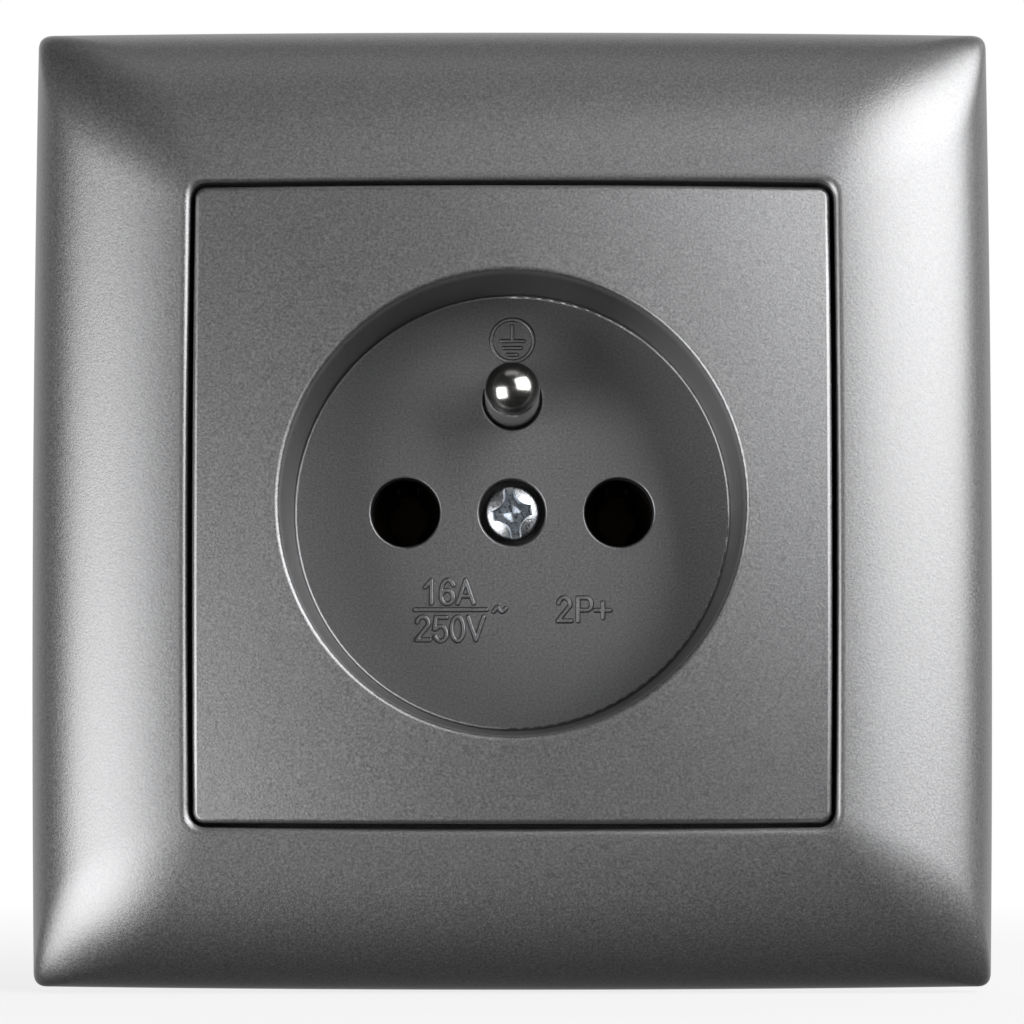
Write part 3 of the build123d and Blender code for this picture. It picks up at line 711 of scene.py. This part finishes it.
# Corner radii from the rim inwards: they gain, then lose most of the gain again
rim_corner_r = 1.0
corner_r_drift = 0.45
corner_r_gain = 5.6
corner_gain_reach = 1.2
corner_loss_power = 1.6
lip_corner_r = 1.45
lip_r = 0.4
lip_step = 0.02
hollow_corner_r = 1.1
hollow_corner_gain = 4
# How far the sides bow outwards
rim_bulge = 0.3
bulge_loss = 0.15
lip_bulge = 0.15
hollow_bulge = 0.2
print("frame half side in mm:", round(frame_half, 2))

# %% [markdown]
# The profile is one closed line, in millimetres from the centre and from the wall: up the outer
# rim, over the crown in a quarter of an ellipse, down the opening, round the ledge that the
# plate rests on, along the collar, and back under the crown in the hollow. The corners are
# tight at the outer rim, widest a few millimetres further in, and tight again at the opening.

# %% Frame profile
def crown(start, stop, count, inset):
    """Half sides and heights on the crown's quarter of an ellipse, from angle to angle."""
    angle = np.radians(np.linspace(start, stop, count))
    half = crown_half + (frame_half - crown_half) * np.sin(angle) - inset
    return half, rim_h - inset + (crown_h - rim_h) * np.cos(angle)


outer_half, outer_h = crown(start=90, stop=11.6, count=80, inset=0)
inset = frame_half - outer_half
inset_share = inset / (frame_half - opening_half)
outer_r = rim_corner_r + corner_r_drift * inset_share
gained = corner_r_gain * (1 - np.exp(-inset / corner_gain_reach))
outer_r += gained * (1 - np.minimum(inset_share, 1) ** corner_loss_power)
lip = np.radians(np.linspace(12, 90, 7))
lip_half = opening_half + lip_r * (1 - np.sin(lip))
lip_h = outer_h[-1] - lip_step - lip_r * (1 - np.cos(lip))
hollow_half, hollow_h = crown(start=23, stop=88.6, count=40, inset=wall_t)
hollow_r = hollow_corner_r + hollow_corner_gain * (hollow_h / crown_h)
# Half side, height, corner radius and bulge of the flat parts between, in order
flat_parts = np.array([
    (27.95, 5.05, 1.45, 0.15), (27.90, 5.00, 1.45, 0.15), (25.80, 5.00, 3.0, 0.02),
    (25.75, 4.95, 3.0, 0.0), (25.75, 3.55, 3.0, 0.0), (25.80, 3.50, 3.0, 0.0),
    (27.90, 3.50, 0.3, 0.0), (27.95, 3.45, 0.3, 0.0), (27.95, 1.55, 0.3, 0.0),
    (28.00, 1.50, 0.3, 0.0), (29.50, 1.50, 0.3, 0.0), (29.55, 1.55, 0.3, 0.0),
    (29.55, 7.25, 0.3, 0.0),
])
foot = np.array([(frame_half - 0.06, 0.0, 1.0, 0.3), (frame_half, 0.06, 1.0, 0.3)])
profile = np.vstack([
    foot,
    np.stack([outer_half, outer_h, outer_r, rim_bulge - bulge_loss * inset_share], 1),
    np.stack([lip_half, lip_h, lip_corner_r + 0 * lip, lip_bulge + 0 * lip], 1),
    flat_parts,
    np.stack([hollow_half, hollow_h, hollow_r, hollow_bulge + 0 * hollow_h], 1),
])
rows = square_path(profile[:, 0], profile[:, 2], profile[:, 3], profile[:, 1])
corner = np.arange(rows.shape[0] * rows.shape[1]).reshape(rows.shape[:2])
next_row, next_column = np.roll(corner, -1, 0), np.roll(corner, -1, 1)
quads = np.stack([corner, next_column, np.roll(next_row, -1, 1), next_row], -1).reshape(-1, 4)
frame_piece = add_piece("domed_frame", rows.reshape(-1, 3), quads, "lacquered_plastic")
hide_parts("cover_frame")
print("profile points:", len(profile))

# %% [markdown]
# Eight ribs stiffen the hollow behind the crown, two on each side. Each is a thin plate whose
# upper edge is sunk in the crown's wall and whose foot has a step for the mounting ring. The
# outline is a fan round one middle point, and both faces and the edge between them close it.

# %% Ribs
rib_half_t = 0.6
rib_offset = 17.0
upper_half, upper_h = crown(start=75, stop=17.1, count=16, inset=wall_t / 2)
outline = np.vstack([
    [(29.0, 1.5), (35.8, 1.5), (35.8, 0.0), (40.5, 0.0)], np.stack([upper_half, upper_h], 1)
])
count = len(outline)
spots = np.vstack([outline, [(34.5, 4.0)]])
one_rib = np.vstack([
    np.stack([spots[:, 0], -spots[:, 1], np.full(count + 1, side * rib_half_t)], 1)
    for side in (-1, 1)
])
edge = np.arange(count)
after = np.roll(edge, -1)
top = count + 1
rib_faces = np.vstack([
    np.stack([edge, after, np.full(count, count)], 1),
    np.stack([after + top, edge + top, np.full(count, count + top)], 1),
    np.stack([after, edge, edge + top], 1),
    np.stack([after, edge + top, after + top], 1),
])
ribs, faces = [], []
for quarter in range(4):
    for offset in (-rib_offset, rib_offset):
        placed = one_rib + (0, 0, offset)
        turned = quarter * pi / 2
        x = placed[:, 0] * cos(turned) - placed[:, 2] * sin(turned)
        z = placed[:, 0] * sin(turned) + placed[:, 2] * cos(turned)
        faces.append(rib_faces + len(ribs) * len(one_rib))
        ribs.append(np.stack([x, placed[:, 1], z], 1) * mm)
rib_mesh = bpy.data.meshes.new("frame_ribs")
rib_mesh.from_pydata(np.vstack(ribs).tolist(), [], np.vstack(faces).tolist())
rib_mesh.update()
rib_mesh.materials.append(materials["lacquered_plastic"])
rib_piece = bpy.data.objects.new("frame_ribs", rib_mesh)
bpy.context.scene.collection.objects.link(rib_piece)
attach(rib_piece, "root")
print("ribs:", len(ribs))

# %% [markdown]
# The floor of the recess carries raised marks: the rating of 16 A and 250 V, the sign for
# alternating current, the words for two poles and earth, and the earth symbol above the pin.
# On the real part they are engraved in the mould, so every stroke is a low ridge with round
# ends. Text objects would give flat slabs with sharp corners. Instead we draw the middle line
# of every stroke, and let a fine grid rise near it: the height of each grid point follows from
# its distance to the nearest stroke. Where strokes meet, their ridges melt together by
# themselves, as they do in a mould.

# %% Strokes of the marks
def arc(centre_x, centre_z, radius_x, radius_z, start, stop, steps=14):
    """Points on an ellipse from the angle start to stop, in degrees."""
    angle = np.radians(np.linspace(start, stop, steps))
    return np.stack([centre_x + radius_x * np.cos(angle), centre_z + radius_z * np.sin(angle)], 1)


def line(*points):
    """Points joined by straight strokes."""
    return np.array(points, float)


# Letters one unit high, with the origin at the lower left
letters = {
    "1": [line((0, 0.70), (0.27, 1.0), (0.27, 0))],
    "6": [
        arc(0.26, 0.27, 0.26, 0.29, 0, 360, 24),
        np.vstack([arc(0.29, 0.49, 0.29, 0.52, 35, 180), line((0, 0.27))]),
    ],
    "A": [line((0, 0), (0.35, 1.0), (0.70, 0)), line((0.11, 0.31), (0.59, 0.31))],
    "2": [np.vstack([arc(0.28, 0.73, 0.25, 0.27, 170, -22), line((0.0, 0.0), (0.58, 0.0))])],
    "5": [
        line((0.53, 0.97), (0.065, 0.97), (0.01, 0.47)),
        arc(0.27, 0.27, 0.26, 0.32, 143, -158, 20),
    ],
    "0": [arc(0.267, 0.48, 0.26, 0.52, 0, 360, 28)],
    "V": [line((0, 1.0), (0.335, 0), (0.67, 1.0))],
    "P": [
        np.vstack([line((0, 0), (0, 1.0)), arc(0.38, 0.73, 0.21, 0.27, 90, -90), line((0, 0.46))]),
    ],
    "+": [line((-0.32, 0.46), (0.32, 0.46)), line((0, 0.13), (0, 0.79))],
}


def word(text_and_places, base_z, letter_h=2.05):
    """Strokes of some letters, each at its own x, on one base line, in mm."""
    return [
        stroke * letter_h + (x, base_z)
        for letter, x in text_and_places
        for stroke in letters[letter]
    ]


wave_step = np.linspace(0, 1, 20)
wave = np.stack(
    [-1.65 + 1.05 * wave_step, -8.63 + 0.19 * np.sin(np.radians(-60 + 450 * wave_step))], 1
)
rating_strokes = (
    word((("1", -7.73), ("6", -6.30), ("A", -4.85)), -8.08)
    + [line((-8.64, -8.65), (-2.27, -8.65))]
    + word((("2", -8.51), ("5", -6.92), ("0", -5.40), ("V", -3.91)), -11.33)
    + [wave]
)
pole_strokes = word((("2", 4.04), ("P", 5.83), ("+", 8.04)), -9.64)
symbol_z = 15.34
symbol_strokes = [
    arc(0, symbol_z, 1.88, 1.88, 0, 360, 72),
    line((0, symbol_z + 1.27), (0, symbol_z - 0.05)),
    line((-1.01, symbol_z - 0.05), (1.01, symbol_z - 0.05)),
    line((-0.77, symbol_z - 0.67), (0.77, symbol_z - 0.67)),
    line((-0.40, symbol_z - 1.27), (0.40, symbol_z - 1.27)),
]
print("strokes:", len(rating_strokes), len(pole_strokes), len(symbol_strokes))

# %% [markdown]
# The grid of a mark is fine enough for the flanks of its strokes. Every grid square that comes
# near a stroke is kept, down to just under the floor, so the flank and the floor meet in a clean
# line. A flat back and walls along the rim of the kept squares close the piece. Its painted shade
# is 1 at the foot of a ridge and fades out up its flank, for the shade where the ridge meets the
# floor.

# %% Raised marks
margin_share = 1.5
grid_low_h = 0.08
kept_low_h = 0.07
back_h = 0.09
painted_shade_start = 1.25
painted_shade_span = 0.6


def ridges(name, strokes, half_width, height, flatness, cell=0.032):
    """Ridges along strokes. At a distance d from the nearest stroke the surface stands
    height * (1 - (d / half_width) ** flatness) above the recess floor, so a flatness of 2 is a
    round ridge and 4 a flat bar. All lengths are in mm, and cell is the side of a grid square.
    """
    starts = np.vstack([s[:-1] for s in strokes])
    steps = np.vstack([s[1:] - s[:-1] for s in strokes])
    low = np.vstack(strokes).min(0) - margin_share * half_width
    high = np.vstack(strokes).max(0) + margin_share * half_width
    grid_x, grid_z = np.meshgrid(np.arange(low[0], high[0], cell), np.arange(low[1], high[1], cell))
    spots = np.stack([grid_x.ravel(), grid_z.ravel()], 1)
    away = spots[:, None] - starts[None]
    share = np.clip((away * steps).sum(2) / (steps**2).sum(1), 0, 1)
    distance = np.linalg.norm(away - share[..., None] * steps, axis=2).min(1)
    rise = height * (1 - (distance / half_width) ** flatness)
    rise = np.maximum(rise, -grid_low_h)
    corner = np.arange(spots.shape[0]).reshape(grid_x.shape)
    quads = np.stack([corner[:-1, :-1], corner[:-1, 1:], corner[1:, 1:], corner[1:, :-1]], -1)
    kept = (rise[quads] > -kept_low_h).any(-1)
    # Two kept squares that touch at a corner alone would leave an edge with four faces
    for _ in range(2):
        both = kept[:-1, :-1] & kept[1:, 1:] & ~kept[:-1, 1:] & ~kept[1:, :-1]
        both |= ~kept[:-1, :-1] & ~kept[1:, 1:] & kept[:-1, 1:] & kept[1:, :-1]
        kept[:-1, :-1] |= both
        kept[1:, 1:] |= both
        kept[:-1, 1:] |= both
        kept[1:, :-1] |= both
    quads = quads[kept]
    used, quads = np.unique(quads, return_inverse=True)
    quads = quads.reshape(-1, 4)
    depth = recess_floor_y - rise[used] * mm
    points = np.stack([spots[used, 0] * mm, depth, spots[used, 1] * mm], 1)
    # Painted shade at the foot of the ridge, fading out up its flank
    painted_shade = np.clip(painted_shade_start - rise[used] / (painted_shade_span * height), 0, 1)
    count = len(points)
    back = points.copy()
    back[:, 1] = recess_floor_y + back_h * mm
    edges = np.stack([quads, np.roll(quads, -1, 1)], -1).reshape(-1, 2)
    # The rim is made of the edges that belong to one kept square only
    keys = np.sort(edges, 1) @ (count, 1)
    first, times = np.unique(keys, return_index=True, return_counts=True)[1:]
    rim = edges[first[times == 1]]
    walls = np.stack([rim[:, 1], rim[:, 0], rim[:, 0] + count, rim[:, 1] + count], 1)
    smooth = np.arange(2 * len(quads) + len(walls)) < len(quads)
    add_piece(
        name, np.vstack([points, back]), np.vstack([quads, quads[:, ::-1] + count, walls]),
        "lacquered_plastic", np.tile(painted_shade, 2).astype(np.float32), smooth,
    )


ridges("rating_mark", rating_strokes, half_width=0.235, height=0.18, flatness=4.0)
ridges("pole_mark", pole_strokes, half_width=0.235, height=0.18, flatness=4.0)
ridges("earth_symbol", symbol_strokes, half_width=0.19, height=0.16, flatness=4.0)

# %% [markdown]
# The central screw is cold headed and zinc plated. Its domed head carries one long slot and a
# cross recess whose corners are hollow curves, with a four sided pit at the bottom, and its
# shank has a rolled thread. The whole screw is one surface: rows run from the middle of the
# head, over its edge, down the shank and to the tip, and every row goes once round the axis.
# The recess and the slot are pressed into the first rows as a depth that depends on the place,
# and the thread is a wave of the radius that climbs one pitch per turn. The head stands a little
# nearer to the room than the solid's head, still inside its hole, as in the photograph.

# %% Screw sizes
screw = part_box("plate_screw")
head_forward = 0.9
head_top_y = screw[0][1] - head_forward * mm
tip_y = screw[1][1]
head_r = (screw[1][0] - screw[0][0]) / 2 / mm
head_h = 2.6
dome_ball_r = 5.0
edge_drop = 0.25
edge_power = 60
shank_r = 1.5
thread_pitch = 0.5
thread_depth = 0.28
slot_half_w = 0.48
slot_depth = 0.75
slot_floor_share = 0.2
cross_half_span = 1.74
cross_corner_place = 1.9
cross_corner_r = 1.48
cross_depth = 0.85
pit_reach = 0.95
pit_slope = 0.28
pit_round = 0.14
wall_slope = 8.0
head_turn = radians(8.7)
screw_l = (tip_y - head_top_y) / mm
print("screw head radius and length in mm:", round(head_r, 2), round(screw_l, 2))

# %% [markdown]
# The slot and the cross are one rule for the depth at a place on the head: the deepest of the
# dome, the slot and the cross. A rule has no seams, so the walls of the slot run into the
# hollow corners of the cross as a stamp leaves them.

# %% Depth of the recess
def head_depth(x, z, dome):
    """How far the head's surface lies under its top, in mm, at x and z from its axis.

    It is the dome, or deeper where the slot or the cross is. With u across and v along the
    slot, the cross ends at cross_half_span, and its four hollow corners are arcs of the radius
    cross_corner_r round points that lie cross_corner_place out along both u and v. A wall falls
    by wall_slope for every mm inside an edge, down to the floor. The floor of the slot follows
    slot_floor_share of the dome, and that of the cross is flat but for the pit, a four sided
    pyramid whose edges are rounded over pit_round.
    """
    u = np.abs(x * np.cos(head_turn) + z * np.sin(head_turn))
    v = np.abs(-x * np.sin(head_turn) + z * np.cos(head_turn))
    in_slot = slot_half_w - u
    in_corner = np.hypot(cross_corner_place - u, cross_corner_place - v) - cross_corner_r
    in_cross = np.minimum(in_corner, cross_half_span - np.maximum(u, v))
    inwards = pit_reach - np.hypot(u, pit_round) - np.hypot(v, pit_round)
    pit = pit_slope * (inwards + np.hypot(inwards, pit_round)) / 2
    slot = np.minimum(dome + wall_slope * in_slot, slot_depth + slot_floor_share * dome)
    cross = np.minimum(dome + wall_slope * in_cross, cross_depth + pit)
    return np.maximum(dome, np.maximum(slot, cross))


print("depth at the middle in mm:", float(head_depth(np.zeros(1), np.zeros(1), np.zeros(1))[0]))

# %% [markdown]
# Now the rows themselves. The rows over the head lie closer together towards its edge, where the
# dome turns down, and the rows of the shank are a sixth of a pitch apart, so the thread is round.

# %% Screw surface
around = 320
head_rows = 110
first_row_angle = 0.012
rows_per_pitch = 6
flank_slope = 1.3
flank_start = 0.1
thread_from = head_h + 0.6
thread_to = screw_l - 0.5
turn = np.linspace(0, 2 * pi, around, endpoint=False)
head_rows_r = head_r * np.sin(np.linspace(first_row_angle, pi / 2, head_rows))
head_rows_h = dome_ball_r - np.sqrt(dome_ball_r**2 - head_rows_r**2)
head_rows_h += edge_drop * (head_rows_r / head_r) ** edge_power
shank_h = np.arange(head_h + 0.35, screw_l - 0.6, thread_pitch / rows_per_pitch)
# Radii and depths under the head's top: the neck under the head, then the tip
neck_r = [head_r, head_r - 0.08, shank_r + 0.15, shank_r]
neck_h = [head_h - 0.1, head_h, head_h, head_h + 0.15]
tip_r = [1.1, 0.9, 0.02]
tip_h = [screw_l - 0.25, screw_l, screw_l]
rows_r = np.concatenate([head_rows_r, neck_r, shank_r + 0 * shank_h, tip_r])
rows_h = np.concatenate([head_rows_h, neck_h, shank_h, tip_h])
radius = np.repeat(rows_r[:, None], around, 1)
height = np.repeat(rows_h[:, None], around, 1)
phase = (height / thread_pitch - turn / (2 * pi)) % 1
groove = thread_depth * np.clip(np.abs(2 * phase - 1) * flank_slope - flank_start, 0, 1)
threaded = (rows_h[:, None] > thread_from) & (rows_h[:, None] < thread_to)
radius = radius - np.where(threaded, groove, 0)
x, z = radius * np.cos(turn), radius * np.sin(turn)
top = len(head_rows_r)
flat_head = height.copy()
height[:top] = head_depth(x[:top], z[:top], height[:top])
points = np.stack([x * mm, head_top_y + height * mm, z * mm], -1).reshape(-1, 3)
corner = np.arange(points.shape[0]).reshape(radius.shape)
following = np.roll(corner, -1, 1)
quads = np.stack([corner[:-1], corner[1:], following[1:], following[:-1]], -1).reshape(-1, 4)
print("rows:", len(rows_r), "columns:", around)

# %% [markdown]
# The first and the last row are small rings. Each is closed with faces that meet in one more
# point on the axis. How deep a point lies under the dome is kept as its painted shade, so the
# bottom of the cross is darker than the head, for the shade in the recess.

# %% Closed screw
full_painted_shade_depth = 0.55
centre_height = head_depth(np.zeros(1), np.zeros(1), np.zeros(1))[0]
points = np.vstack([points, [(0, head_top_y + centre_height * mm, 0), (0, tip_y, 0)]])
depth_all = np.append(height.ravel(), [centre_height, 0])
head_pole, tip_pole = len(points) - 2, len(points) - 1
mesh = bpy.data.meshes.new("slotted_cross_screw")
head_fan = np.stack([np.full(around, head_pole), corner[0], following[0]], 1)
tip_fan = np.stack([np.full(around, tip_pole), following[-1], corner[-1]], 1)
mesh.from_pydata(points.tolist(), [], quads.tolist() + head_fan.tolist() + tip_fan.tolist())
mesh.polygons.foreach_set("use_smooth", np.ones(len(mesh.polygons), dtype=bool))
mesh.update()
dome_only = np.append(flat_head.ravel(), [0, 0])
# Painted shade: the deeper under the dome, the darker
recess_shade = np.clip((depth_all - dome_only) / full_painted_shade_depth, 0, 1).astype(np.float32)
mesh.attributes.new("painted_shade", "FLOAT", "POINT").data.foreach_set("value", recess_shade)
mesh.materials.append(materials["zinc_steel"])
screw_piece = bpy.data.objects.new("slotted_cross_screw", mesh)
bpy.context.scene.collection.objects.link(screw_piece)
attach(screw_piece, "root")
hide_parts("plate_screw")
print("screw faces:", len(mesh.polygons))
